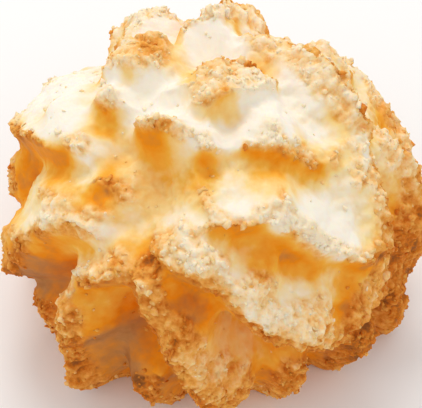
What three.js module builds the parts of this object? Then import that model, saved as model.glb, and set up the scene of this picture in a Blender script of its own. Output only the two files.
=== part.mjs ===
// A coconut bun of the macaroon kind: one baked mound, piped into ledges that lean out
// over smooth hollows, with a flat base. Millimetres, +Z up, origin at the base's centre.
// A bearing is degrees round the mound from the front (-Y) towards the right (+X).
// A rise is degrees above the level of the widest girth.
import * as THREE from "three";
import { mergeVertices } from "three/addons/utils/BufferGeometryUtils.js";

// Driving dimensions
const BODY_RADIUS = 22.4; // the mound without its ledges
const GIRTH_HEIGHT = 12.5; // from the base up to the widest girth
const LEDGE_END = 4; // length over which a ledge dies away past its ends
const HOLLOW_WIDTH = 1.6; // width of the hollow under a ledge, as a multiple of the ledge's drop
const EDGE_WANDER = 0.7; // how far a ledge's edge wanders to either side
const WANDER_SPACING = 9;
const LIP_UNEVENNESS = 0.16; // share by which a lip rises and falls along its ledge
const LIP_SPACING = 10;
const CRAG_HEIGHT = 0.25; // the coarse crags of the crust
const CRAG_SPACING = 3.4;
const WAVE_BEND = 1.3; // how far the waves that make the crust uneven are bent, in radians
const BEND_STRETCH = 1.6; // length of those bends, in waves
const BASE_SNAP = 0.5; // what lies this close to the base belongs to it

// Curves of a ledge, as exponents: 1 is straight, more is hollower and less is fuller.
const BACK_CURVE = 1.15; // the slope behind the edge
const DROP_CURVE = 1.6; // the face under it
const END_CURVE = 1.4; // how it dies away past its ends
const SPAN_CURVE = 0.6; // how the lip grows from its ends to its middle
const MEETING_CURVE = 4; // how sharply ledges meet: more is sharper
const END_LIP = 0.65; // share of the lip that is left at a ledge's ends
const HOLLOW_START = 0.5; // share of the drop at which the hollow starts
const HOLLOW_STOP = 2; // height of another ledge at which a hollow no longer cuts in

// Mesh density
const SPHERE_DETAIL = 23;
const BASE_RING_SHARE = 0.78; // share of the sphere's rings that go to what shows above the base
const LEDGE_STEPS = 24;
const EDGE_SNAP = 0.35; // a vertex this near to a ledge's edge is moved onto it

// Ledges, from head to foot, each as a bearing and a rise. Bow is how far the middle hangs, in
// degrees. Lip is the height of the edge and round half its width; back is the width of the slope
// behind it, drop the width of the face under it and hollow the depth of the scoop below that face.
const FRONT_LEDGES = [
  // Front crescent, its upper and its lower half
  { head: [-16, 42], foot: [6, 34], bow: 0.5, round: 1, lip: 5.4, back: 7, drop: 3.6, hollow: 3 },
  { head: [5, 35], foot: [34, 9], bow: 3.5, round: 1, lip: 5.6, back: 8, drop: 3.8, hollow: 3 },
  // Upturned end of the crescent
  { head: [28, 11], foot: [51, 11], bow: 3, round: 0.8, lip: 4.8, back: 8, drop: 3.6, hollow: 0.6 },
  // Front foot, its upper and its lower half
  { head: [-17, 37], foot: [-11, 24], bow: 2.8, round: 1.2, lip: 5, back: 3, drop: 3.6, hollow: 2 },
  { head: [-12, 25], foot: [0, -8], bow: -1.5, round: 1.2, lip: 5.4, back: 4, drop: 3.8, hollow: 2.6 },
  // Left shelf
  { head: [-23, 33], foot: [-39, 23], bow: -0.5, round: 0.6, lip: 5, back: 5, drop: 4, hollow: 1.8 },
  // Left foot
  { head: [-39, 21], foot: [-39, -28], bow: -1, round: 0.8, lip: 5.8, back: 4, drop: 3.6, hollow: 0.8 },
  // Left arm and its end
  { head: [-36, 37], foot: [-67, 17], bow: -4, round: 0.5, lip: 5.6, back: 10, drop: 4.6, hollow: 2.4 },
  { head: [-61, 22], foot: [-78, -6], bow: 0, round: 1.4, lip: 5, back: 6, drop: 4.4, hollow: 0.8 },
  // Upper left arm and its end
  { head: [-60, 52], foot: [-112, 15], bow: 1, round: 0.5, lip: 5.8, back: 14, drop: 4.6, hollow: 1.2 },
  { head: [-101, 25], foot: [-88, 8], bow: 0, round: 1.2, lip: 4.3, back: 5, drop: 6, hollow: 0 },
  // Inner shelf
  { head: [-44, 53], foot: [-53, 45], bow: 0, round: 0.4, lip: 3, back: 4, drop: 3.4, hollow: 0.8 },
  // Upper left block
  { head: [-87, 59], foot: [-78, 69], bow: 2, round: 0.8, lip: 4.2, back: 5, drop: 3.4, hollow: 0.8 },
  // Top left knob
  { head: [-117, 61], foot: [-131, 78], bow: -1, round: 2.4, lip: 5.2, back: 4, drop: 2.6, hollow: 0 },
  // Top knob
  { head: [-40, 82], foot: [105, 76], bow: 3.5, round: 2.4, lip: 4.4, back: 4, drop: 2.4, hollow: 0 },
  // Thin crest
  { head: [-70, 85], foot: [-57, 70], bow: -0.5, round: 0.5, lip: 3.2, back: 3, drop: 3, hollow: 0 },
  // Centre
  { head: [-51, 66], foot: [-12, 69], bow: -2, round: 0.5, lip: 4.8, back: 4, drop: 4.4, hollow: 2 },
  // Centre knob
  { head: [-9, 67], foot: [11, 68], bow: 0, round: 0.8, lip: 3.8, back: 8, drop: 3.2, hollow: 0.4 },
  // Right upper shelf
  { head: [20, 69.3], foot: [58, 54.3], bow: 1, round: 1.1, lip: 4.1, back: 12, drop: 3.4, hollow: 1.8 },
  // Right shelf
  { head: [-2, 49], foot: [38, 31], bow: -5.2, round: 0.6, lip: 5.2, back: 9, drop: 4.4, hollow: 2.4 },
  // Right shelf's lower end
  { head: [41, 31], foot: [57, 23], bow: 1, round: 0.6, lip: 5.2, back: 8, drop: 3.6, hollow: 1.4 },
  // Right upright
  { head: [80, 48], foot: [54, 3], bow: -3, round: 1, lip: 4.4, back: 10, drop: 4, hollow: 0.8 },
  // Right side
  { head: [90, 38], foot: [70, -22], bow: 2, round: 0.8, lip: 6, back: 7, drop: 4, hollow: 0.6 },
  // Upper left shoulder
  { head: [-143, 46], foot: [-166, 50], bow: 0, round: 1.2, lip: 5.4, back: 4, drop: 4, hollow: 0 },
  // Upper right shoulder
  { head: [138, 43], foot: [118, 34], bow: 0, round: 2.2, lip: 4.6, back: 5, drop: 4, hollow: 0 },
];

// Feet round the base, where the ridges run out: the front ones, then a ring of others.
const FRONT_FEET = [
  { bearing: -61, lip: 3.2 },
  { bearing: -17, lip: 3.2 },
  { bearing: 6, lip: 3.2 },
  { bearing: 25, lip: 3.2 },
  { bearing: 48, lip: 4.4 },
  { bearing: 67, lip: 6 },
];
const FAR_FOOT_COUNT = 8;
const FAR_FOOT_FIRST = 84;
const FAR_FOOT_STEP = 25;
const FOOT = { top: -2, low: -32, bow: 0, round: 1.6, lip: 3.4, back: 3, drop: 3, hollow: 0 };

// Arms of the far side in two tiers, which lean round to the left as they come down.
const FAR_ARM_COUNT = 4; // in each tier
const FAR_ARM_STEP = 40;
const FAR_ARM_LEAN = -43;
const UPPER_ARM_FIRST = 122; // bearing of the first one's head
const LOWER_ARM_FIRST = 137;
const UPPER_ARM = { top: 67, low: 41, bow: -3, round: 0.6, lip: 4.8, back: 5, drop: 3.6, hollow: 1.2 };
const LOWER_ARM = { top: 37, low: 2, bow: -3, round: 0.7, lip: 5, back: 9, drop: 4.4, hollow: 1.6 };

// How unlike each other the feet and the far arms are, in degrees and as a share of the lip.
const BEARING_SPREAD = 4;
const RISE_SPREAD = 7;
const LIP_SPREAD = 0.2;
const COPY_TURN = 2.4; // radians by which each copy's sway is ahead of the last one's

const radians = THREE.MathUtils.degToRad;
const clamp01 = (value) => THREE.MathUtils.clamp(value, 0, 1);

function directionAt(bearing, rise) {
  const b = radians(bearing);
  const r = radians(rise);
  return new THREE.Vector3(Math.cos(r) * Math.sin(b), -Math.cos(r) * Math.cos(b), Math.sin(r));
}

// Directions of the three waves that make the crust uneven.
const WAVES = [
  new THREE.Vector3(0.86, 0.51, 0),
  new THREE.Vector3(-0.47, 0, 0.79),
  new THREE.Vector3(0.27, 0.33, -0.94),
];

// A smooth uneven field in [-1, 1] whose waves are about `spacing` millimetres long.
function unevenness(point, spacing, phase) {
  const turns = (2 * Math.PI) / spacing;
  const sum = WAVES.reduce((total, wave, i) => {
    const sideways = point.getComponent((i + 2) % 3);
    const bend = WAVE_BEND * Math.sin((turns * sideways) / BEND_STRETCH);
    return total + Math.sin(turns * wave.dot(point) + (i + 1) * phase + bend);
  }, 0);
  return sum / WAVES.length;
}

// Points along a ledge's edge, each with the direction along the edge and the one under it.
function ledgeLine(ledge) {
  const head = directionAt(...ledge.head);
  const foot = directionAt(...ledge.foot);
  const under = head.clone().add(foot).cross(foot.clone().sub(head)).normalize();
  if (under.z > 0) under.negate();
  const points = [];
  for (let i = 0; i <= LEDGE_STEPS; i++) {
    const t = i / LEDGE_STEPS;
    const hang = Math.tan(radians(ledge.bow)) * 4 * t * (1 - t);
    points.push(head.clone().lerp(foot, t).normalize().addScaledVector(under, hang).normalize());
  }
  return points.map((point, i) => {
    const before = points[Math.max(i - 1, 0)];
    const after = points[Math.min(i + 1, LEDGE_STEPS)];
    const along = after.clone().sub(before).normalize();
    const down = point.clone().cross(along).normalize();
    if (down.dot(under) < 0) down.negate();
    return { point, along, down, t: i / LEDGE_STEPS };
  });
}

// A ledge that runs straight down the mound.
function uprightAt(pattern, bearing) {
  return { ...pattern, head: [bearing, pattern.top], foot: [bearing, pattern.low] };
}

// The same ledge set round the mound, each copy a little unlike the last.
function unlikeCopies(pattern, bearings, lean) {
  return bearings.map((bearing, i) => {
    const turn = COPY_TURN * (i + 1);
    const sway = Math.sin(turn);
    const headBearing = bearing + BEARING_SPREAD * sway;
    const head = [headBearing, pattern.top + RISE_SPREAD * Math.cos(turn)];
    const foot = [headBearing + lean, pattern.low];
    return { ...pattern, head, foot, lip: pattern.lip * (1 + LIP_SPREAD * sway) };
  });
}

function evenBearings(first, step, count) {
  return Array.from({ length: count }, (_, i) => first + i * step);
}

const farFeet = evenBearings(FAR_FOOT_FIRST, FAR_FOOT_STEP, FAR_FOOT_COUNT);
const upperArms = evenBearings(UPPER_ARM_FIRST, FAR_ARM_STEP, FAR_ARM_COUNT);
const lowerArms = evenBearings(LOWER_ARM_FIRST, FAR_ARM_STEP, FAR_ARM_COUNT);
const ledges = [
  ...FRONT_LEDGES,
  ...FRONT_FEET.map(({ bearing, lip }) => ({ ...uprightAt(FOOT, bearing), lip })),
  ...unlikeCopies(FOOT, farFeet, 0),
  ...unlikeCopies(UPPER_ARM, upperArms, FAR_ARM_LEAN),
  ...unlikeCopies(LOWER_ARM, lowerArms, FAR_ARM_LEAN),
];
const ledgeLines = ledges.map(ledgeLine);

function nearestStep(line, direction) {
  const distances = line.map((step) => step.point.distanceToSquared(direction));
  return line[distances.indexOf(Math.min(...distances))];
}

// How far one ledge raises the mound in a direction, and how deep it hollows it below.
function ledgeRelief(direction, ledge, line, index) {
  const nearest = nearestStep(line, direction);
  const offset = direction.clone().sub(nearest.point).multiplyScalar(BODY_RADIUS);
  const place = direction.clone().multiplyScalar(BODY_RADIUS);
  const isEnd = nearest.t === 0 || nearest.t === 1;
  const past = isEnd ? Math.abs(offset.dot(nearest.along)) : 0;
  const across = offset.dot(nearest.down) + EDGE_WANDER * unevenness(place, WANDER_SPACING, index);
  const inside = END_LIP + (1 - END_LIP) * Math.sin(Math.PI * nearest.t) ** SPAN_CURVE;
  const ends = inside * (1 - clamp01(past / LEDGE_END)) ** END_CURVE;
  const lip = ledge.lip * ends * (1 + LIP_UNEVENNESS * unevenness(place, LIP_SPACING, index));
  const off = Math.max(Math.abs(across) - ledge.round, 0);
  const slope = 1 - clamp01(off / (across < 0 ? ledge.back : ledge.drop));
  const raised = lip * slope ** (across < 0 ? BACK_CURVE : DROP_CURVE);
  const below = clamp01((across / ledge.drop - HOLLOW_START) / HOLLOW_WIDTH);
  const hollow = ledge.hollow * ends * Math.sin(Math.PI * below);
  return { raised, hollow, across, down: nearest.down };
}

// The direction moved onto the edge of the ledge that stands highest there, if that edge is near.
function ontoEdge(direction) {
  let highest = { raised: 0, across: Infinity };
  ledgeLines.forEach((line, index) => {
    const here = ledgeRelief(direction, ledges[index], line, index);
    if (here.raised > highest.raised) highest = here;
  });
  if (Math.abs(highest.across) > EDGE_SNAP) return direction;
  return direction.addScaledVector(highest.down, -highest.across / BODY_RADIUS).normalize();
}

// Height of the surface over the plain mound in a direction.
function relief(direction) {
  let raisedPower = 0;
  let hollowPower = 0;
  ledgeLines.forEach((line, index) => {
    const { raised, hollow } = ledgeRelief(direction, ledges[index], line, index);
    raisedPower += raised ** MEETING_CURVE;
    hollowPower += hollow ** MEETING_CURVE;
  });
  const raised = raisedPower ** (1 / MEETING_CURVE);
  const hollow = hollowPower ** (1 / MEETING_CURVE) * (1 - clamp01(raised / HOLLOW_STOP));
  const place = direction.clone().multiplyScalar(BODY_RADIUS);
  return raised - hollow + CRAG_HEIGHT * unevenness(place, CRAG_SPACING, 0);
}

// A sphere whose rings are crowded towards what shows, so that the flat base takes few faces.
function surfaceDirections() {
  const sphere = new THREE.IcosahedronGeometry(1, SPHERE_DETAIL);
  sphere.deleteAttribute("normal");
  sphere.deleteAttribute("uv");
  const merged = mergeVertices(sphere, 1e-5);
  const baseTilt = Math.PI / 2 + Math.asin(GIRTH_HEIGHT / BODY_RADIUS);
  const ringTilt = Math.PI * BASE_RING_SHARE;
  const position = merged.getAttribute("position");
  const at = new THREE.Vector3();
  for (let i = 0; i < position.count; i++) {
    at.fromBufferAttribute(position, i);
    const turn = Math.atan2(at.y, at.x);
    const tilt = Math.acos(THREE.MathUtils.clamp(at.z, -1, 1));
    const crowded =
      tilt < ringTilt
        ? THREE.MathUtils.mapLinear(tilt, 0, ringTilt, 0, baseTilt)
        : THREE.MathUtils.mapLinear(tilt, ringTilt, Math.PI, baseTilt, Math.PI);
    at.setFromSphericalCoords(1, crowded, turn);
    position.setXYZ(i, at.z, at.x, at.y);
  }
  return merged;
}

function mound() {
  const geometry = surfaceDirections();
  const position = geometry.getAttribute("position");
  const direction = new THREE.Vector3();
  for (let i = 0; i < position.count; i++) {
    ontoEdge(direction.fromBufferAttribute(position, i).normalize());
    let reach = BODY_RADIUS + relief(direction);
    if (direction.z < 0) reach = Math.min(reach, GIRTH_HEIGHT / -direction.z);
    const z = GIRTH_HEIGHT + direction.z * reach;
    position.setXYZ(i, direction.x * reach, direction.y * reach, z < BASE_SNAP ? 0 : z);
  }
  geometry.computeBoundingBox();
  const { min, max } = geometry.boundingBox;
  geometry.translate(-(min.x + max.x) / 2, -(min.y + max.y) / 2, 0);
  geometry.computeVertexNormals();
  return geometry;
}

const crust = new THREE.MeshStandardMaterial({ color: 0xf0cf98, roughness: 0.8, metalness: 0 });
const bun = new THREE.Mesh(mound(), crust);
bun.name = "coconut_bun";

const part = new THREE.Group();
part.add(bun);

export default part;
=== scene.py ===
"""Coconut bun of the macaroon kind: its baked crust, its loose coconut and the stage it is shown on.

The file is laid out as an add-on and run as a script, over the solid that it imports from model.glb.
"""

import math
from typing import NamedTuple

import bmesh
import bpy
import numpy as np
from bpy.props import FloatProperty, FloatVectorProperty, IntProperty, PointerProperty
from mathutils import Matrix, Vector, noise


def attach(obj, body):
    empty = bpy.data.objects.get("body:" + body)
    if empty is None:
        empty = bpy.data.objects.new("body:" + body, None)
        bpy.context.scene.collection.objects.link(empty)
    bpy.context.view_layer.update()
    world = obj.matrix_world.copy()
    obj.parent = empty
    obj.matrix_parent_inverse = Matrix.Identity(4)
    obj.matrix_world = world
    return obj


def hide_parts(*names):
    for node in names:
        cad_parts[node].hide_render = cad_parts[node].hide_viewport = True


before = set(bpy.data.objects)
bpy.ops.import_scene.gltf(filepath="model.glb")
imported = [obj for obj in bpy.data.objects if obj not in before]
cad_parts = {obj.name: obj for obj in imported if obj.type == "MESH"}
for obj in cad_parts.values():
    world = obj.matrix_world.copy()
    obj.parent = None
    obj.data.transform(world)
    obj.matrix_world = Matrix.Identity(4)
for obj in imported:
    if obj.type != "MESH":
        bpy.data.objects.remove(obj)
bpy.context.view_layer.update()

bl_info = {
    "name": "Coconut bun",
    "version": (1, 0, 0),
    "blender": (4, 5, 0),
    "location": "3D View > Sidebar > Coconut bun",
    "description": "Bakes the bun's crust, scatters its loose coconut and sets the stage",
    "category": "Object",
}

MM = 0.001
SOLID = "coconut_bun"
BODY = "root"
CRUST = "bun_crust"
CRUMBS = "coconut_crumbs"
SHREDS = "coconut_shreds"
BAKED_COCONUT = "baked_coconut"
SEED = 11

# Middle and size of the mound that the marks of the bake are laid out on
GIRTH_HEIGHT = 12.5 * MM
MOUND_RADIUS = 25 * MM


class Mark(NamedTuple):
    """A place where the bake differs: how granular, how brown and how toasted under its ledge; brown and
    toast also carry painted shade in some hollows.
    """

    bearing: float
    rise: float
    reach: float
    grain: float = 0
    toast: float = 0
    under: float = 0


# Bearings are degrees from the front towards the right, rises degrees above the widest girth and
# reaches millimetres. Below 0 a place is smoother, paler or less toasted under its ledge.
BAKE_MARKS = (
    # Top left knob, granular and brown in the middle, with a pale valley below it
    Mark(-113, 71, 3.6, grain=1, toast=0.42, under=-0.5),
    Mark(-120, 71, 1.5, toast=0.25),
    Mark(-143, 57, 4.5, grain=-0.5, toast=-0.1, under=-0.6),
    Mark(-84, 73, 3, grain=-0.8, toast=-0.3, under=-1),
    Mark(-98, 62, 2, toast=-0.3, under=-0.6),
    # Top knob, with a yellow band and a pale slope below it
    Mark(-4, 82, 4, grain=1, toast=0.14),
    Mark(76, 82, 4, grain=0.8, toast=0.14),
    Mark(-7, 78.3, 1.6, toast=0.36),
    Mark(10, 79.3, 1.7, toast=0.24),
    Mark(25, 78.5, 1.5, toast=0.25),
    Mark(12, 81.2, 1.5, toast=-0.22, under=-0.3),
    Mark(48, 79, 1.6, grain=0.6, toast=-0.3, under=-0.8),
    Mark(70, 76, 2.2, grain=-0.6, toast=-0.45, under=-1),
    Mark(12, 74, 3, grain=-0.4, toast=-0.15, under=-0.9),
    Mark(-30, 77, 3, toast=-0.1, under=-0.6),
    Mark(132, 74, 2, grain=0.9, toast=0.35),
    Mark(96, 70.4, 1.8, toast=-0.3),
    # Upper left block
    Mark(-80, 63, 2.5, grain=0.8),
    Mark(-77, 61.2, 1.8, toast=-0.4),
    Mark(-82, 54.5, 2, toast=-0.25),
    Mark(-71, 58.3, 1.6, toast=0.62),
    # Smooth white backs of the arms on the left
    Mark(-90, 46, 7, grain=-1, toast=-0.04),
    Mark(-52, 38, 5, toast=-0.14),
    Mark(-54, 33, 2.2, toast=-0.2),
    Mark(-62.5, 24, 1.8, toast=-0.22),
    # Orange face and tan hollow under the upper left arm, partly browned and partly painted shade
    Mark(-77, 40, 4, under=0.2),
    Mark(-61, 49.5, 2, toast=-0.35, under=-0.8),
    Mark(-87, 20, 5, toast=0.66),
    Mark(-65, 40, 3.5, toast=0.42),
    # Brown hollow under the left arm, partly browned and partly painted shade
    Mark(-62, 13, 6, grain=-1, toast=0.5),
    Mark(-56, 8, 4, toast=0.3),
    Mark(-58, 6, 2.5, toast=-0.14),
    Mark(-62, -3, 3.5, toast=0.45),
    # Inner shelf
    Mark(-46, 45, 2.2, toast=0.6),
    Mark(-54, 52, 2.2, toast=0.5),
    Mark(-56, 42.6, 1.8, toast=0.22),
    # Hollow in the middle
    Mark(-62, 64, 1.8, toast=-0.35),
    Mark(-45, 67.7, 1.8, toast=-0.42),
    Mark(-40, 65, 2.5, grain=-0.9, toast=0.25),
    Mark(-31, 55, 4.5, toast=0.26),
    Mark(-28, 49, 4, grain=0.35, toast=0.1),
    Mark(-27, 60, 2.5, under=-0.5),
    Mark(-35, 45, 2.5, under=-1),
    Mark(-20, 46, 3, grain=0.2, toast=-0.12),
    Mark(-21, 66.5, 1.6, toast=-0.12, under=-0.6),
    Mark(-8.5, 66.7, 1.5, toast=-0.5),
    Mark(-9, 64.5, 1.6, toast=0.35),
    Mark(-9, 58.5, 2.6, toast=0.36),
    # Smooth white back of the right upper shelf
    Mark(33, 72, 4.6, grain=-1.2, toast=-0.25),
    Mark(65, 60, 4, grain=-0.8, toast=-0.1),
    Mark(18, 66.5, 2.2, grain=0.7, under=0.3),
    Mark(29, 65.2, 1.5, toast=-0.3),
    Mark(35, 64, 2, grain=1),
    Mark(52, 58, 2.2, grain=0.8),
    Mark(55, 54.5, 2.2, grain=0.4, toast=0.25, under=0.3),
    Mark(27, 60, 2.4, toast=0.22),
    Mark(26, 56, 3.5, toast=0.36),
    # Smooth white back of the right shelf, and the yellow valley in front of it
    Mark(25, 50, 4.5, grain=-0.8, toast=-0.2),
    Mark(46, 38, 5, grain=-0.8, toast=-0.12),
    Mark(22, 46.6, 1.7, grain=0.9, toast=-0.45, under=-1),
    Mark(30, 40.3, 1.7, grain=0.9, toast=-0.45, under=-1),
    Mark(35, 35.5, 1.7, grain=0.8, toast=-0.3, under=-0.8),
    Mark(40, 31.5, 1.7, grain=0.9, toast=-0.35, under=-1),
    Mark(26, 37.5, 1.6, toast=0.42),
    Mark(30, 31.5, 2, toast=0.34),
    Mark(35, 28.5, 1.6, toast=0.4),
    Mark(15, 37, 4, grain=-0.3, toast=0.6),
    # Front crescent, from its brown head down to its end
    Mark(-22, 40, 2.5, grain=0.8, toast=0.55),
    Mark(-8, 40, 4, grain=0.8, toast=-0.26),
    Mark(6, 31, 4, grain=0.8, toast=-0.48, under=-0.4),
    Mark(19, 20, 4, grain=0.8, toast=-0.12),
    Mark(7, 26.5, 2, toast=-0.22),
    Mark(22, 19, 1.8, toast=0.2),
    Mark(17, 27, 5, grain=0.65, toast=0.06),
    # Valley under the crescent, darkened mostly as painted shade, partly browned
    Mark(-5, 26, 4.5, grain=-0.6, toast=0.8),
    Mark(-1, 14, 3, grain=-0.7, toast=-0.14),
    # Front foot
    Mark(-19, 29, 3, grain=0.8, toast=0.2),
    Mark(-12, 18, 4, grain=0.8, toast=0.2),
    Mark(-2, 4, 5, grain=0.8, toast=0.15),
    # Brown valley to the left of the front foot, partly browned and partly painted shade
    Mark(-29, 6, 6, grain=-0.8, toast=0.76),
    Mark(-24, -12, 4.5, grain=-0.6, toast=0.5),
    # Left shelf
    Mark(-35, 32, 3, grain=0.8, toast=0.14),
    Mark(-31, 37, 2, grain=0.4, toast=0.3),
    Mark(-42, 37, 1.8, toast=-0.3),
    Mark(-36, 36.5, 1.5, toast=-0.2),
    Mark(-37, 7, 3, toast=-0.22),
    Mark(-41, 13, 2.5, toast=0.2),
    # Facets at the crescent's end, with an orange patch
    Mark(43, 16, 5, grain=0.9, toast=0.2),
    Mark(40, 17, 2.2, toast=0.25),
    Mark(36, 13, 2.5, toast=0.4),
    Mark(54, 27, 2.2, toast=0.35),
    Mark(59, -11.5, 2, toast=-0.42),
    # Browner side on the right, partly browned and partly painted shade of the side turned away from the
    # light
    Mark(73, 14, 7, grain=0.8, toast=0.58),
    Mark(64, -6, 7, grain=0.8, toast=0.52),
    Mark(44, -9, 5, toast=0.62),
    Mark(21, -6, 5, toast=0.35),
    Mark(13, -24, 3, toast=-0.18),
    # Granular upper right, with an orange knob at its edge
    Mark(58, 38, 4, grain=0.6, toast=0.2),
    Mark(105, 58, 9, grain=0.9, toast=0.05),
    Mark(80, 55.8, 1.5, grain=0.7, toast=0.4),
    Mark(88, 54.7, 1.5, toast=-0.25),
    Mark(76, 43, 2, toast=-0.45),
    Mark(110, 24.5, 3, grain=0.5, toast=0.58),
    Mark(66.5, 52, 2, grain=0.5, toast=0.25),
    # Top of the far side, with a smooth white valley
    Mark(-173, 74, 4, grain=-1, toast=-0.15),
    Mark(168, 58, 4, grain=0.6),
)


def colour(name, description, red, green, blue):
    """A colour property whose default is given as the 0 to 255 values seen on a screen (sRGB)."""
    seen = np.array([red, green, blue]) / 255
    linear = np.where(seen <= 0.04045, seen / 12.92, ((seen + 0.055) / 1.055) ** 2.4)
    return FloatVectorProperty(
        name=name, description=description, default=tuple(linear), subtype="COLOR", size=3, min=0, max=1
    )


def length(name, description, millimetres):
    """A length property whose default is given in millimetres."""
    return FloatProperty(
        name=name, description=description, default=millimetres * MM, unit="LENGTH", precision=6
    )


def angle(name, description, degrees):
    """An angle property whose default is given in degrees."""
    return FloatProperty(
        name=name, description=description, default=math.radians(degrees), subtype="ANGLE"
    )


def share(name, description, default):
    """A plain number, usually between 0 and 1."""
    return FloatProperty(name=name, description=description, default=default, subtype="FACTOR")


def whole(name, description, default):
    """A whole number of things or rounds."""
    return IntProperty(name=name, description=description, default=default)


class CrustSettings(bpy.types.PropertyGroup):
    """Relief of the crust."""

    cuts: whole("Cuts", "Cuts across each edge of the solid", 3)
    easing: whole("Easing", "Rounds that ease the solid's facets", 3)
    melting: whole("Melting", "Rounds that melt the ledges down to the broad form", 50)
    grain_size: length("Grain size", "Width of a grain of coconut in the crust", 0.6)
    grain_height: length("Grain height", "How far a grain stands out", 0.32)
    clump_size: length("Clump size", "Width of a clump of grains", 1.4)
    clump_height: length("Clump height", "How far a clump stands out", 0.75)
    shagginess: share("Shagginess", "How far grains and clumps are pulled out of round", 0.45)
    faint_grain: share("Faint grain", "Share of the grain's height that shows off the crests", 0.45)
    ripple_size: length("Ripple size", "Width of the ripples in the smooth hollows", 1.8)
    ripple_height: length("Ripple height", "How far those ripples stand out", 0.1)
    ridge_rounds: whole("Ridge rounds", "Rounds of blurring that a ridge stands out from", 110)
    sharpening: share("Sharpening", "How much further ridges stand out than on the solid", 0.5)
    inset: length("Inset", "How far the crust lies inside the solid, as room for loose coconut", 0.4)
    crest_low: length("Low crests", "Height over the broad form where low ledges turn granular", 0.2)
    crest_high: length("High crests", "Height over the broad form where high ledges turn granular", 2.2)
    crest_blend: length("Crest blend", "Height over which the crust goes from smooth to granular", 0.8)


class ToastAndShadeSettings(bpy.types.PropertyGroup):
    """Colours of the crust from unbaked to dark, and where they lie, painted shade included: low down,
    under the ledges and in the crevices.
    """

    cream: colour("Cream", "Smooth tops, hardly baked", 251, 241, 225)
    straw: colour("Straw", "Hollows, lightly baked", 252, 218, 150)
    honey: colour("Honey", "Deeper in the hollows", 248, 184, 70)
    # Amber and brown also colour the painted shade under the ledges and in the low valleys
    amber: colour("Amber", "Faces under the ledges", 243, 150, 14)
    brown: colour("Brown", "Low valleys, baked longer", 192, 130, 72)
    dark: colour("Dark", "Edges baked the longest", 150, 88, 36)
    pale_grain: colour("Pale grain", "Coconut, hardly baked", 255, 235, 204)
    light_grain: colour("Light grain", "Coconut, lightly baked", 254, 212, 150)
    tan_grain: colour("Tan grain", "Coconut, baked", 242, 172, 80)
    brown_grain: colour("Brown grain", "Coconut, baked brown", 212, 118, 24)
    # The lowest edge, the low part and the faces under ledges are partly browned and partly painted
    # shade; the fade carries the painted shade under a ledge down its slope
    foot: share("Foot", "How much further the lowest edge is baked", 0.26)
    low: share("Low", "How far the foot of the bun is baked", 0.58)
    under: share("Under", "How far faces under ledges are baked", 0.7)
    rim: share("Rim", "How far the rims of ledges are baked", 0.32)
    crest: share("Crest", "How far crests are baked", 0.24)
    # Crevices are painted darker as shade, and the tops of grains and clumps paler as painted light
    crevice_shade: share("Crevice", "How much further crevices are baked than the grains beside them", 0.6)
    blotching: share("Blotching", "How uneven the bake is", 0.2)
    sheltered: share("Sheltered", "How much less smooth places high up can be baked", 0.3)
    fade: share("Fade", "Share of the toast under a ledge that is left one edge further down", 0.83)


class CoconutSettings(bpy.types.PropertyGroup):
    """Loose coconut on the crust."""

    crumb_count: whole("Crumbs", "Number of crumbs", 6000)
    crumb_size: length("Crumb size", "Usual width of a crumb", 0.4)
    shred_count: whole("Shreds", "Number of shreds", 150)
    shred_length: length("Shred length", "Usual length of a shred", 1.0)
    shred_width: length("Shred width", "Usual width of a shred", 0.42)
    shred_thickness: length("Shred thickness", "Usual thickness of a shred", 0.18)
    darkest: share("Darkest", "How far loose coconut is baked at most", 0.75)


class StageSettings(bpy.types.PropertyGroup):
    """Floor, light and camera."""

    elevation: angle("Elevation", "Camera above the horizon", 50)
    distance: length("Distance", "Camera to the point it aims at", 130)
    aim_side: length("Aim side", "How far that point lies to the right", -0.75)
    aim_height: length("Aim height", "Height of that point", 15)
    lens: FloatProperty(name="Lens", description="Focal length", default=85, unit="CAMERA")
    floor_size: length("Floor size", "Width of the floor", 4000)
    floor: colour("Floor", "Colour of the floor", 246, 245, 243)
    key: FloatProperty(
        name="Key", description="Power of the light behind the bun", default=0.78, unit="POWER"
    )
    key_size: length("Key size", "Width of that light", 220)
    key_distance: length("Key distance", "That light to the point the camera aims at", 500)
    key_bearing: angle("Key bearing", "Where that light stands, from the front towards the right", 190)
    key_rise: angle("Key rise", "That light above the horizon", 58)
    fill: FloatProperty(name="Fill", description="Brightness of the surroundings", default=0.82)


class Wire:
    """An output of a material's nodes, so that shader maths is written as arithmetic."""

    def __init__(self, tree, socket=None):
        self.tree = tree
        self.socket = socket

    def node(self, kind, settings=None, inputs=None, output=0):
        """Add a node: its settings are set first, then the values or links of its sockets."""
        made = self.tree.nodes.new(kind)
        for name, value in (settings or {}).items():
            if name == "stops":
                self.set_stops(made.color_ramp.elements, value)
            else:
                setattr(made, name, value)
        for name, value in (inputs or {}).items():
            socket = self.shown(made.inputs, name)
            if isinstance(value, Wire):
                self.tree.links.new(value.socket, socket)
            else:
                socket.default_value = value
        return Wire(self.tree, self.shown(made.outputs, output) if len(made.outputs) else None)

    @staticmethod
    def shown(sockets, name):
        """A socket by its number, or the one of this name that the node's settings leave in use."""
        if isinstance(name, int):
            return sockets[name]
        return next(socket for socket in sockets if socket.name == name and socket.enabled)

    @staticmethod
    def set_stops(elements, stops):
        """Give a colour ramp its stops, as pairs of position and colour."""
        while len(elements) < len(stops):
            elements.new(1)
        for element, (position, rgb) in zip(elements, stops):
            element.position = position
            element.color = (*rgb, 1)

    def calculate(self, operation, first, second):
        return self.node("ShaderNodeMath", {"operation": operation}, {0: first, 1: second})

    def __add__(self, other):
        return self.calculate("ADD", self, other)

    def __sub__(self, other):
        return self.calculate("SUBTRACT", self, other)

    def __rsub__(self, other):
        return self.calculate("SUBTRACT", other, self)

    def __mul__(self, other):
        return self.calculate("MULTIPLY", self, other)

    __radd__ = __add__
    __rmul__ = __mul__


def new_material(name):
    """An empty node material, with a wire to build it from."""
    material = bpy.data.materials.new(name)
    material.use_nodes = True
    material.node_tree.nodes.clear()
    return material, Wire(material.node_tree)


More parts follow.
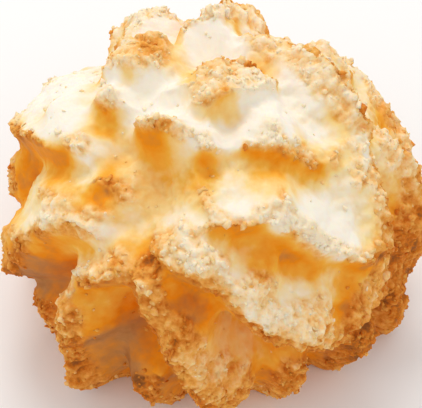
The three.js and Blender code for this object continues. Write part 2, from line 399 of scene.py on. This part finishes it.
# Baked coconut: the sizes of its patterns, how far they move its tone, how much bump smooth places
# keep, and how dull it is when pale and how much less so when toasted
MOTTLE_SIZE = 3.2 * MM
SPECKLE_SIZE = 0.55 * MM
PIT_SIZE = 0.5 * MM
MOTTLING = 0.1
SPECKLING = 0.1
GRAIN_SPECKLING = 0.36
NOISE_MIDDLE = 0.5
SMOOTH_BUMP = 0.15
PALE_ROUGHNESS = 0.86
TOASTED_GLOSS = 0.25


def crust_material(toast):
    """Baked coconut: the toast attribute sets how brown it is, painted shade included, the grain
    attribute how granular.
    """
    material = bpy.data.materials.get(BAKED_COCONUT)
    if material:
        return material
    material, wire = new_material(BAKED_COCONUT)
    place = wire.node("ShaderNodeTexCoord", output="Object")
    baked = wire.node("ShaderNodeAttribute", {"attribute_name": "toast"}, output="Fac")
    grain = wire.node("ShaderNodeAttribute", {"attribute_name": "grain"}, output="Fac")
    mottle = wire.node(
        "ShaderNodeTexNoise",
        inputs={"Vector": place, "Scale": 1 / MOTTLE_SIZE, "Detail": 3, "Roughness": 0.6},
    )
    speckle = wire.node(
        "ShaderNodeTexNoise",
        inputs={"Vector": place, "Scale": 1 / SPECKLE_SIZE, "Detail": 2, "Roughness": 0.6},
    )
    tone = baked + (mottle - NOISE_MIDDLE) * MOTTLING
    tone = tone + (speckle - NOISE_MIDDLE) * (SPECKLING + grain * GRAIN_SPECKLING)
    smooth_stops = [
        (0.0, toast.cream),
        (0.25, toast.straw),
        (0.45, toast.honey),
        (0.65, toast.amber),
        (0.85, toast.brown),
        (1.0, toast.dark),
    ]
    grain_stops = [
        (0.0, toast.pale_grain),
        (0.3, toast.light_grain),
        (0.55, toast.tan_grain),
        (0.8, toast.brown_grain),
        (1.0, toast.dark),
    ]
    smooth_shade = wire.node("ShaderNodeValToRGB", {"stops": smooth_stops}, {"Fac": tone}, output="Color")
    grain_shade = wire.node("ShaderNodeValToRGB", {"stops": grain_stops}, {"Fac": tone}, output="Color")
    shade = wire.node(
        "ShaderNodeMix",
        {"data_type": "RGBA"},
        {"Factor": grain, "A": smooth_shade, "B": grain_shade},
        output="Result",
    )
    pits = wire.node(
        "ShaderNodeTexVoronoi",
        {"feature": "SMOOTH_F1"},
        {"Vector": place, "Scale": 1 / PIT_SIZE},
        output="Distance",
    )
    height = (speckle + (1 - pits)) * (SMOOTH_BUMP + grain)
    normal = wire.node(
        "ShaderNodeBump",
        inputs={"Height": height, "Strength": 0.6, "Distance": 0.16 * MM},
        output="Normal",
    )
    shader = wire.node(
        "ShaderNodeBsdfPrincipled",
        {"subsurface_method": "RANDOM_WALK"},
        {
            "Base Color": shade,
            "Roughness": PALE_ROUGHNESS - baked * TOASTED_GLOSS,
            "Normal": normal,
            "Specular IOR Level": 0.12,
            "Subsurface Weight": 0.3,
            "Subsurface Radius": (1.0, 0.5, 0.2),
            "Subsurface Scale": 0.6 * MM,
        },
    )
    wire.node("ShaderNodeOutputMaterial", inputs={"Surface": shader})
    return material


class Wave(NamedTuple):
    """One layer of a smooth noise: the size of its features, where in the noise it lies, its strength."""

    size: float
    shift: float
    strength: float = 1


# Noises that make the crust uneven
PATCHES = (Wave(5 * MM, 3.1, 0.3), Wave(1.6 * MM, 4.4, 0.3))
BLOTCHES = (Wave(1.5 * MM, 2.9), Wave(0.7 * MM, 6.1, 0.6))
SPOTS = (Wave(2.2 * MM, 1.7),)
RAGGED_EDGES = (Wave(2.5 * MM, 8.3, 0.9 * MM), Wave(1 * MM, 2.2, 0.45 * MM))

# A noise's second layer, where it follows a setting: how much finer it is, and how strong
FINER = 2.5
FINER_STRENGTH = 0.5

# Levels over which something sets in, from where it is absent to where it is full
OFF_BASE = (0.2 * MM, 1.6 * MM)
HIGH_LEDGES = (12 * MM, 24 * MM)
# LOW_PART and LOWEST_EDGE darken the crust towards the bottom, partly as browning and partly as painted
# shade
LOW_PART = (25 * MM, 8 * MM)
LOWEST_EDGE = (9 * MM, 2 * MM)
SHELTERED_PART = (22 * MM, 29 * MM)

# The same for how much further down a face looks than the broad form does there; the first span sets
# where faces under ledges take browning and painted shade
TOASTED_AND_SHADED_LEAN = (0.05, 0.4)
FACE_LEAN = (0.2, 0.6)
BARE_LEAN = (0.45, 0.8)

# The same for how far up a face looks, a ridge's height, the height over the broad form, the
# nearness to a toasted face and the noise of the spots
LOOKS_OUT = (0.9, 0.2)
RIDGE_HEIGHT = (0.12 * MM, 0.35 * MM)
FACE_LIFT = (-1.6 * MM, 1 * MM)
NEAR_FACE = (0.1, 0.45)
SPOT_NOISE = (0.2, 0.6)

# Grains and clumps: how wide and blunt a lump is in its cell, its mean height, and where in the
# noise the cells and the ripples lie
LUMP_REACH = 0.85
LUMP_BLUNTNESS = 1.4
MEAN_LUMP = 0.5
GRAIN_SHIFT = 0.0
CLUMP_SHIFT = 7.7
RIPPLE_SHIFTS = (5.3, 9.1)

# Where the crust is granular: how far a mark of 1 lifts a crest and a ridge, and how much less
# faint grain there is on the faces under ledges
LIFT_BY_MARK = 1.6 * MM
RIDGE_BY_MARK = 0.3 * MM
LESS_GRAIN_ON_FACES = 0.7

# Toast and painted shade under the ledges: the share left deep in the hollows, how far a mark can raise
# it, how many edges it runs down, and the rounds of blurring that soften it and that find the rims above
# it
HOLLOW_SHARE = 0.35
MOST_MARKED = 1.4
RUN_EDGES = 20
RUN_BLURRING = 4
RIM_BLURRING = 60

# Blotches: how much less there are on faces and on smooth places, and how they change the toast
# under ledges, the rims and the pale places
LESS_BLOTCHED_FACES = 0.6
SMOOTH_BLOTCHING = 0.5
UNDER_BLOTCHING = 0.2
UNDER_LIMITS = (0.3, 1.25)
RIM_BLOTCHING = 0.15
PALE_BLOTCHING = 0.3

# Tones: the share of the low part's toast on faces that look up, and how grains, clumps, their crevices
# and spots differ from what lies around them. Faces that look out or down take more of the low part's
# toast as painted shade; crevices are painted darker as shade and the tops of grains and clumps paler as
# painted light
LOOKS_UP_SHARE = 0.35
CREVICE_TONE = 0.34
GRAIN_TONE = 0.4
CLUMP_TONE = 0.6
SPOT_TONE = 0.18
LESS_CONTRAST_IN_BROWN = 0.5
FAINT_SPECKLING = 0.5

MERGE_DISTANCE = 0.001 * MM
BROAD_PLACE = "broad_place"
BROAD_NORMAL = "broad_normal"


def unit(vectors):
    """Vectors made 1 long."""
    return vectors / np.linalg.norm(vectors, axis=1, keepdims=True)


def between(span, values):
    """0 at the span's first value, 1 at its second, with an S curve between."""
    low, high = span
    part = np.clip((values - low) / (high - low), 0, 1)
    return part * part * (3 - 2 * part)


def raised(least, values):
    """Shares from 0 to 1, raised so that they start at the least one."""
    return least + (1 - least) * values


def together(*parts):
    """Shares that add up like coats of paint: none of them takes the whole past 1."""
    left = np.ones(len(parts[0]))
    for part in parts:
        left = left * (1 - np.clip(part, 0, 1))
    return 1 - left


def waves(points, *layers):
    """A smooth noise, the sum of its layers."""
    total = np.zeros(len(points))
    for layer in layers:
        heights = [noise.noise(Vector(point / layer.size + layer.shift)) for point in points]
        total += layer.strength * np.array(heights)
    return total


def pulled(points, size, amount):
    """Points moved about by a noise, so that cells laid out on them are pulled out of round."""
    wide = np.array([noise.noise_vector(Vector(point / size)) for point in points])
    fine = np.array([noise.noise_vector(Vector(point / size * FINER)) for point in points])
    return points + amount * size * (wide + FINER_STRENGTH * fine)


def cell_lumps(points, size, shift):
    """Blunt lumps all over space, 1 at a lump's middle and 0 at its edge."""
    spread = np.array([noise.voronoi(Vector(point / size + shift))[0][0] for point in points])
    return 1 - np.clip(spread / LUMP_REACH, 0, 1) ** LUMP_BLUNTNESS


def heading(bearing, rise):
    """Direction at a bearing, counted from the front towards the right, and at a rise above level."""
    return Vector((
        math.sin(bearing) * math.cos(rise),
        -math.cos(bearing) * math.cos(rise),
        math.sin(rise),
    ))


def ease(form, rounds):
    """Move each vertex half way to the middle of its neighbours, a number of times."""
    for _ in range(rounds):
        bmesh.ops.smooth_vert(
            form, verts=form.verts, factor=0.5, use_axis_x=True, use_axis_y=True, use_axis_z=True
        )


def keep_broad_form(form, rounds):
    """Layers that hold where each vertex would lie, and look, with the ledges melted down."""
    place_layer = form.verts.layers.float_vector.new(BROAD_PLACE)
    normal_layer = form.verts.layers.float_vector.new(BROAD_NORMAL)
    places = [vertex.co.copy() for vertex in form.verts]
    ease(form, rounds)
    form.normal_update()
    for vertex, place in zip(form.verts, places):
        vertex[place_layer] = vertex.co
        vertex[normal_layer] = vertex.normal
        vertex.co = place


def take_layer(form, name):
    """The vectors in a layer of the vertices, which is then removed."""
    layers = form.verts.layers.float_vector
    layer = layers[name]
    vectors = np.array([vertex[layer] for vertex in form.verts])
    layers.remove(layer)
    return vectors


def fine_form(crust):
    """The solid, merged, cut finer and eased, with layers that hold its broad form."""
    form = bmesh.new()
    form.from_mesh(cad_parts[SOLID].data)
    bmesh.ops.remove_doubles(form, verts=form.verts, dist=MERGE_DISTANCE)
    keep_broad_form(form, crust.melting)
    bmesh.ops.subdivide_edges(form, edges=form.edges, cuts=crust.cuts, use_grid_fill=True)
    ease(form, crust.easing)
    form.normal_update()
    form.verts.index_update()
    return form


class Survey:
    """What is measured on the bare crust, one value for each vertex."""

    def __init__(self, form, ridge_rounds):
        self.points = np.array([vertex.co for vertex in form.verts])
        self.normals = np.array([vertex.normal for vertex in form.verts])
        self.edges = np.array([[vertex.index for vertex in edge.verts] for edge in form.edges])
        broad_points = take_layer(form, BROAD_PLACE)
        broad_normals = unit(take_layer(form, BROAD_NORMAL))
        self.level = self.points[:, 2]
        self.off_base = between(OFF_BASE, self.level)
        # Height over the broad form, and how much further down a face looks than the broad form does
        self.lift = ((self.points - broad_points) * broad_normals).sum(axis=1)
        self.lean = broad_normals[:, 2] - self.normals[:, 2]
        self.on_face = between(FACE_LEAN, self.lean)
        self.ragged = waves(self.points, *RAGGED_EDGES)
        # How far a ridge stands out from what lies close around it
        self.stand_out = self.points - self.blurred(self.points, ridge_rounds)
        self.ridge = (self.stand_out * self.normals).sum(axis=1)

    def blurred(self, values, rounds):
        """Values that have moved half way to the mean of their neighbours, a number of times."""
        if values.ndim > 1:
            return np.stack([self.blurred(column, rounds) for column in values.T], axis=1)
        first, second = self.edges.T
        neighbours = np.bincount(self.edges.ravel())
        for _ in range(rounds):
            total = np.bincount(first, values[second]) + np.bincount(second, values[first])
            values = (values + total / neighbours) / 2
        return values

    def run_down(self, values, fade, rounds):
        """Values that run down the slope from each point to its lower neighbours, fading as they go."""
        first, second = self.edges.T
        first_is_higher = self.level[first] > self.level[second]
        higher = np.where(first_is_higher, first, second)
        lower = np.where(first_is_higher, second, first)
        for _ in range(rounds):
            reached = values.copy()
            np.maximum.at(reached, lower, values[higher] * fade)
            values = reached
        return values

    def marked(self, quality):
        """Sum of one quality of the bake's marks, each fading out from its place."""
        total = np.zeros(len(self.points))
        outward = unit(self.points - np.array([0, 0, GIRTH_HEIGHT]))
        for mark in BAKE_MARKS:
            place = heading(math.radians(mark.bearing), math.radians(mark.rise))
            away = np.linalg.norm(outward - np.array(place), axis=1) * MOUND_RADIUS + self.ragged
            total += getattr(mark, quality) * np.exp(-((away / (mark.reach * MM)) ** 2))
        return total


class Relief:
    """The crust's fine shape, one value for each vertex: its points and how granular it is there."""

    def __init__(self, survey, crust):
        points = survey.points + crust.sharpening * survey.off_base[:, None] * survey.stand_out
        grain_marks = survey.marked("grain")
        rougher = grain_marks + waves(points, *PATCHES)
        high = between(HIGH_LEDGES, survey.level)
        starts = crust.crest_low + (crust.crest_high - crust.crest_low) * high
        self.crest = np.maximum(
            between((0, crust.crest_blend), survey.lift - starts + LIFT_BY_MARK * rougher),
            between(RIDGE_HEIGHT, survey.ridge + RIDGE_BY_MARK * rougher),
        )
        self.grain = self.crest * survey.off_base * (1 - between(BARE_LEAN, survey.lean))
        self.smooth = np.clip(-grain_marks, 0, 1)
        faint = crust.faint_grain * survey.off_base * (1 - self.smooth)
        faint = faint * (1 - LESS_GRAIN_ON_FACES * survey.on_face)
        self.roughness = np.maximum(self.grain, faint)

        grain_places = pulled(points, crust.grain_size, crust.shagginess)
        clump_places = pulled(points, crust.clump_size, crust.shagginess)
        self.grains = cell_lumps(grain_places, crust.grain_size, GRAIN_SHIFT)
        self.clumps = cell_lumps(clump_places, crust.clump_size, CLUMP_SHIFT)
        lumps = crust.grain_height * (self.grains - MEAN_LUMP)
        lumps = lumps + crust.clump_height * (self.clumps - MEAN_LUMP)
        ripples = waves(
            points,
            Wave(crust.ripple_size, RIPPLE_SHIFTS[0]),
            Wave(crust.ripple_size / FINER, RIPPLE_SHIFTS[1], FINER_STRENGTH),
        )
        height = self.roughness * lumps + crust.ripple_height * ripples - crust.inset
        self.points = points + survey.normals * (survey.off_base * height)[:, None]
        self.points[:, 2] = np.maximum(self.points[:, 2], 0)


def bake_and_shade(survey, relief, toast):
    """How far each place of the crust is baked, from 0 to 1, with painted shade low down, under the
    ledges and in the crevices, and painted light on the tops of grains and clumps.
    """
    blotches = waves(relief.points, *BLOTCHES) * (1 - LESS_BLOTCHED_FACES * survey.on_face)
    # Faces under ledges, and the slope below them that this runs down, are partly browned and partly
    # painted warm shade
    face = between(TOASTED_AND_SHADED_LEAN, survey.lean) * raised(HOLLOW_SHARE, between(FACE_LIFT, survey.lift))
    face = face * np.clip(1 + survey.marked("under"), 0, MOST_MARKED)
    under = survey.blurred(survey.run_down(face, toast.fade, RUN_EDGES), RUN_BLURRING)
    under = under * np.clip(1 + UNDER_BLOTCHING * blotches, *UNDER_LIMITS)
    near_face = between(NEAR_FACE, survey.blurred(face, RIM_BLURRING) + RIM_BLOTCHING * blotches)
    looks_out = between(LOOKS_OUT, survey.normals[:, 2])
    marked = survey.marked("toast")
    # The low part, more on faces that look out or down, and the lowest edge are partly browned and partly
    # painted shade; so are the faces under ledges
    baked = together(
        toast.low * between(LOW_PART, survey.level) * raised(LOOKS_UP_SHARE, looks_out),
        toast.foot * between(LOWEST_EDGE, survey.level),
        toast.under * under,
        toast.crest * relief.crest * (1 - under),
        toast.rim * relief.grain * near_face,
        marked,
    )
    # Half baked places are the most uneven, and pale ones a little
    uneven = PALE_BLOTCHING * (1 - relief.smooth) + baked * (1 - baked)
    baked += toast.blotching * blotches * raised(SMOOTH_BLOTCHING, relief.grain) * uneven
    # Painted shade in the crevices and painted light on the tops of grains and clumps
    contrast = toast.crevice_shade * (1 - LESS_CONTRAST_IN_BROWN * np.clip(baked, 0, 1))
    crevices = CREVICE_TONE - GRAIN_TONE * relief.grains - CLUMP_TONE * relief.clumps
    spots = SPOT_TONE * between(SPOT_NOISE, waves(relief.points, *SPOTS))
    speckled = np.maximum(relief.grain, FAINT_SPECKLING * relief.roughness)
    baked += np.minimum(marked, 0) + speckled * (spots + contrast * crevices)
    most = 1 - toast.sheltered * (1 - relief.grain) * between(SHELTERED_PART, survey.level)
    return np.clip(baked, 0, most)


def read(items, name, width):
    """An array with one row for each vertex or other item of a mesh."""
    values = np.empty(len(items) * width, np.float32)
    items.foreach_get(name, values)
    return values.astype(float).reshape(-1, width)


def put_attribute(mesh, name, values):
    """Store one number for each vertex under a name that the material reads."""
    attribute = mesh.attributes.new(name, "FLOAT", "POINT")
    attribute.data.foreach_set("value", np.asarray(values, np.float32))


def get_attribute(mesh, name):
    """The numbers that put_attribute stored."""
    return read(mesh.attributes[name].data, "value", 1)[:, 0]


def new_object(name, mesh):
    """An object of this mesh, in the scene."""
    made = bpy.data.objects.new(name, mesh)
    bpy.context.scene.collection.objects.link(made)
    return made


def finish_piece(piece, material):
    """Shade a piece, give it its finish and let it ride on the bun's body."""
    piece.data.shade_smooth()
    piece.data.materials.append(material)
    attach(piece, BODY)


class COCONUTBUN_OT_crust(bpy.types.Operator):
    """Make the bun's crust from the solid: finer, granular on its crests and toasted"""

    bl_idname = "coconutbun.crust"
    bl_label = "Crust"

    def execute(self, context):
        crust = context.scene.bun_crust
        toast = context.scene.bun_toast
        # Without a seed, the noise that pulls grains out of round would differ from run to run
        noise.seed_set(SEED)
        form = fine_form(crust)
        survey = Survey(form, crust.ridge_rounds)
        relief = Relief(survey, crust)
        mesh = bpy.data.meshes.new(CRUST)
        form.to_mesh(mesh)
        form.free()
        mesh.vertices.foreach_set("co", relief.points.astype(np.float32).ravel())
        put_attribute(mesh, "toast", bake_and_shade(survey, relief, toast))
        put_attribute(mesh, "grain", relief.grain)
        mesh.update()
        piece = new_object(CRUST, mesh)
        finish_piece(piece, crust_material(toast))
        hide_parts(SOLID)
        return {"FINISHED"}


# Loose coconut: how closely it keeps to granular places, and the weight of places with no grain
CRUMB_CLUSTERING = 1.5
SHRED_CLUSTERING = 1.0
BARE_WEIGHT = 0.04

# Keeps a length of 0 from being divided by
SHORTEST = 1e-9

# Crumbs: how their sizes, shapes, depths and tones are spread
CRUMB_SPREAD = 0.4
CRUMB_STRETCH = (0.55, 1.4)
CRUMB_DENTS = (0.5, 1.3)
CRUMB_DEPTH = (-0.35, 0.0)
CRUMB_PALER = 0.03
CRUMB_TONES = 0.1

# Shreds: the cuts along one, and how their sizes, shapes, leans and tones are spread
SHRED_CUTS = 4
SHRED_SPREAD = 0.2
SHRED_TAPER = (0.2, 0.8)
SHRED_CURL = (-0.25, 0.1)
SHRED_SWAY = (-0.25, 0.25)
SHRED_LEAN = 0.22
SHRED_RAISE = 0.05 * MM
SHRED_TONES = 0.06


def crust_mesh():
    """The crust that loose coconut lies on."""
    piece = bpy.data.objects.get(CRUST)
    if piece is None:
        raise RuntimeError("make the crust before its loose coconut")
    return piece.data


def scatter(number, clustering, seed):
    """Places on the crust, drawn more often where it is granular."""
    mesh = crust_mesh()
    draw = np.random.default_rng(seed)
    weights = get_attribute(mesh, "grain") ** clustering + BARE_WEIGHT
    chosen = draw.choice(len(weights), size=number, replace=False, p=weights / weights.sum())
    points = read(mesh.vertices, "co", 3)[chosen]
    normals = read(mesh.vertex_normals, "vector", 3)[chosen]
    return draw, points, normals, get_attribute(mesh, "toast")[chosen]


def turned(quaternions, vectors):
    """Vectors turned by unit quaternions: one row of vectors for each quaternion."""
    scalar = quaternions[:, None, :1]
    axis = quaternions[:, None, 1:]
    side = 2 * np.cross(axis, vectors)
    return vectors + scalar * side + np.cross(axis, side)


def facing(normals, spins):
    """Quaternions that turn +Z to each normal after a spin about it."""
    x, y, z = normals.T
    half = np.stack([1 + z, -y, x, np.zeros(len(normals))], axis=1)
    half /= np.maximum(np.linalg.norm(half, axis=1, keepdims=True), SHORTEST)
    cosine = np.cos(spins / 2)
    sine = np.sin(spins / 2)
    w, x, y, z = half.T
    return np.stack(
        [w * cosine - z * sine, x * cosine + y * sine, y * cosine - x * sine, z * cosine + w * sine],
        axis=1,
    )


def joined_copies(name, template, places, toasts_and_shades):
    """One mesh of many copies of a small closed shape, each with its own points and toast."""
    faces = np.array([[vertex.index for vertex in face.verts] for face in template.faces])
    copies, corners = places.shape[:2]
    all_faces = faces[None] + np.arange(copies)[:, None, None] * corners
    mesh = bpy.data.meshes.new(name)
    mesh.from_pydata(places.reshape(-1, 3).tolist(), [], all_faces.reshape(-1, faces.shape[1]).tolist())
    put_attribute(mesh, "toast", np.repeat(toasts_and_shades, corners))
    put_attribute(mesh, "grain", np.ones(copies * corners))
    mesh.update()
    return mesh


def lay_coconut(context, name, template, places, toasts_and_shades):
    """Make one piece of all the copies of a crumb or shred, none of them below the floor."""
    coconut = context.scene.bun_coconut
    places[..., 2] = np.maximum(places[..., 2], 0)
    mesh = joined_copies(name, template, places, np.clip(toasts_and_shades, 0, coconut.darkest))
    template.free()
    finish_piece(new_object(name, mesh), crust_material(context.scene.bun_toast))


class COCONUTBUN_OT_crumbs(bpy.types.Operator):
    """Scatter crumbs of desiccated coconut over the granular crests"""

    bl_idname = "coconutbun.crumbs"
    bl_label = "Crumbs"

    def execute(self, context):
        coconut = context.scene.bun_coconut
        template = bmesh.new()
        bmesh.ops.create_icosphere(template, subdivisions=1, radius=0.5)
        shape = np.array([vertex.co for vertex in template.verts])
        draw, points, normals, toasts_and_shades = scatter(coconut.crumb_count, CRUMB_CLUSTERING, SEED)
        number = len(points)
        sizes = coconut.crumb_size * draw.lognormal(0, CRUMB_SPREAD, (number, 1, 1))
        sizes = sizes * draw.uniform(*CRUMB_STRETCH, (number, 1, 3))
        dents = draw.uniform(*CRUMB_DENTS, (number, len(shape), 1))
        spins = unit(draw.normal(size=(number, 4)))
        places = turned(spins, shape[None] * sizes * dents)
        depth = coconut.crumb_size * draw.uniform(*CRUMB_DEPTH, (number, 1))
        places += (points + normals * depth)[:, None]
        toasts_and_shades = toasts_and_shades - CRUMB_PALER + draw.normal(0, CRUMB_TONES, number)
        lay_coconut(context, CRUMBS, template, places, toasts_and_shades)
        return {"FINISHED"}


class COCONUTBUN_OT_shreds(bpy.types.Operator):
    """Lay thin curled shreds of coconut on the crests"""

    bl_idname = "coconutbun.shreds"
    bl_label = "Shreds"

    def execute(self, context):
        coconut = context.scene.bun_coconut
        template = bmesh.new()
        bmesh.ops.create_cube(template, size=1)
        ends = [(edge, *edge.verts) for edge in template.edges]
        lengthwise = [edge for edge, one, other in ends if one.co.x * other.co.x < 0]
        bmesh.ops.subdivide_edges(template, edges=lengthwise, cuts=SHRED_CUTS, use_grid_fill=True)
        shape = np.array([vertex.co for vertex in template.verts])
        draw, points, normals, toasts_and_shades = scatter(coconut.shred_count, SHRED_CLUSTERING, SEED + 1)
        number = len(points)
        means = np.array([coconut.shred_length, coconut.shred_width, coconut.shred_thickness])
        sizes = means * draw.lognormal(0, SHRED_SPREAD, (number, 1, 3))
        strips = shape[None] * sizes
        # 0 at a shred's middle and 1 at its ends
        endwards = (2 * shape[:, 0]) ** 2
        strips[..., 1] *= 1 - draw.uniform(*SHRED_TAPER, (number, 1)) * endwards
        strips[..., 2] += draw.uniform(*SHRED_CURL, (number, 1)) * sizes[..., 0] * endwards
        strips[..., 1] += draw.uniform(*SHRED_SWAY, (number, 1)) * sizes[..., 0] * endwards
        leant = unit(normals + draw.normal(0, SHRED_LEAN, (number, 3)))
        places = turned(facing(leant, draw.uniform(0, 2 * math.pi, number)), strips)
        places += (points + normals * SHRED_RAISE)[:, None]
        toasts_and_shades = toasts_and_shades + draw.normal(0, SHRED_TONES, number)
        lay_coconut(context, SHREDS, template, places, toasts_and_shades)
        return {"FINISHED"}


NEAR_CLIP = 1 * MM
WHITE = (1, 1, 1, 1)


def floor_material(rgb):
    """A plain, dull floor."""
    material, wire = new_material("pale_floor")
    shader = wire.node("ShaderNodeBsdfPrincipled", inputs={"Base Color": (*rgb, 1), "Roughness": 0.9})
    wire.node("ShaderNodeOutputMaterial", inputs={"Surface": shader})
    return material


def aimed(made, aim, direction, distance):
    """Stand a light or camera off from a point, looking back at it."""
    made.location = aim + direction * distance
    made.rotation_euler = direction.to_track_quat("Z", "Y").to_euler()
    bpy.context.scene.collection.objects.link(made)


class COCONUTBUN_OT_stage(bpy.types.Operator):
    """Set the pale floor, the soft light and the camera"""

    bl_idname = "coconutbun.stage"
    bl_label = "Stage"

    def execute(self, context):
        stage = context.scene.bun_stage
        form = bmesh.new()
        bmesh.ops.create_grid(form, x_segments=1, y_segments=1, size=stage.floor_size / 2)
        mesh = bpy.data.meshes.new("floor")
        form.to_mesh(mesh)
        form.free()
        mesh.materials.append(floor_material(stage.floor))
        new_object("floor", mesh)

        world = bpy.data.worlds.new("studio")
        world.use_nodes = True
        surroundings = world.node_tree.nodes["Background"].inputs
        surroundings["Color"].default_value = WHITE
        surroundings["Strength"].default_value = stage.fill
        context.scene.world = world

        aim = Vector((stage.aim_side, 0, stage.aim_height))
        lamp = bpy.data.lights.new("key", "AREA")
        lamp.shape = "DISK"
        lamp.size = stage.key_size
        lamp.energy = stage.key
        light = bpy.data.objects.new("key", lamp)
        aimed(light, aim, heading(stage.key_bearing, stage.key_rise), stage.key_distance)

        camera = bpy.data.cameras.new("camera")
        camera.lens = stage.lens
        camera.clip_start = NEAR_CLIP
        viewer = bpy.data.objects.new("camera", camera)
        aimed(viewer, aim, heading(0, stage.elevation), stage.distance)
        context.scene.camera = viewer
        context.scene.view_settings.view_transform = "Standard"
        return {"FINISHED"}


STEPS = (COCONUTBUN_OT_crust, COCONUTBUN_OT_crumbs, COCONUTBUN_OT_shreds, COCONUTBUN_OT_stage)
SETTINGS = {
    "bun_crust": CrustSettings,
    "bun_toast": ToastAndShadeSettings,
    "bun_coconut": CoconutSettings,
    "bun_stage": StageSettings,
}


class COCONUTBUN_PT_panel(bpy.types.Panel):
    """The bun's pieces and their settings"""

    bl_label = "Coconut bun"
    bl_idname = "COCONUTBUN_PT_panel"
    bl_space_type = "VIEW_3D"
    bl_region_type = "UI"
    bl_category = "Coconut bun"

    def draw(self, context):
        for step in STEPS:
            self.layout.operator(step.bl_idname)
        for name in SETTINGS:
            settings = getattr(context.scene, name)
            box = self.layout.box()
            for key in settings.__annotations__:
                box.prop(settings, key)


CLASSES = (*SETTINGS.values(), *STEPS, COCONUTBUN_PT_panel)


def register():
    for kind in CLASSES:
        bpy.utils.register_class(kind)
    for name, group in SETTINGS.items():
        setattr(bpy.types.Scene, name, PointerProperty(type=group))


def unregister():
    for name in SETTINGS:
        delattr(bpy.types.Scene, name)
    for kind in reversed(CLASSES):
        bpy.utils.unregister_class(kind)


def main():
    register()
    bpy.ops.coconutbun.crust()
    bpy.ops.coconutbun.crumbs()
    bpy.ops.coconutbun.shreds()
    bpy.ops.coconutbun.stage()


if __name__ == "__main__":
    main()
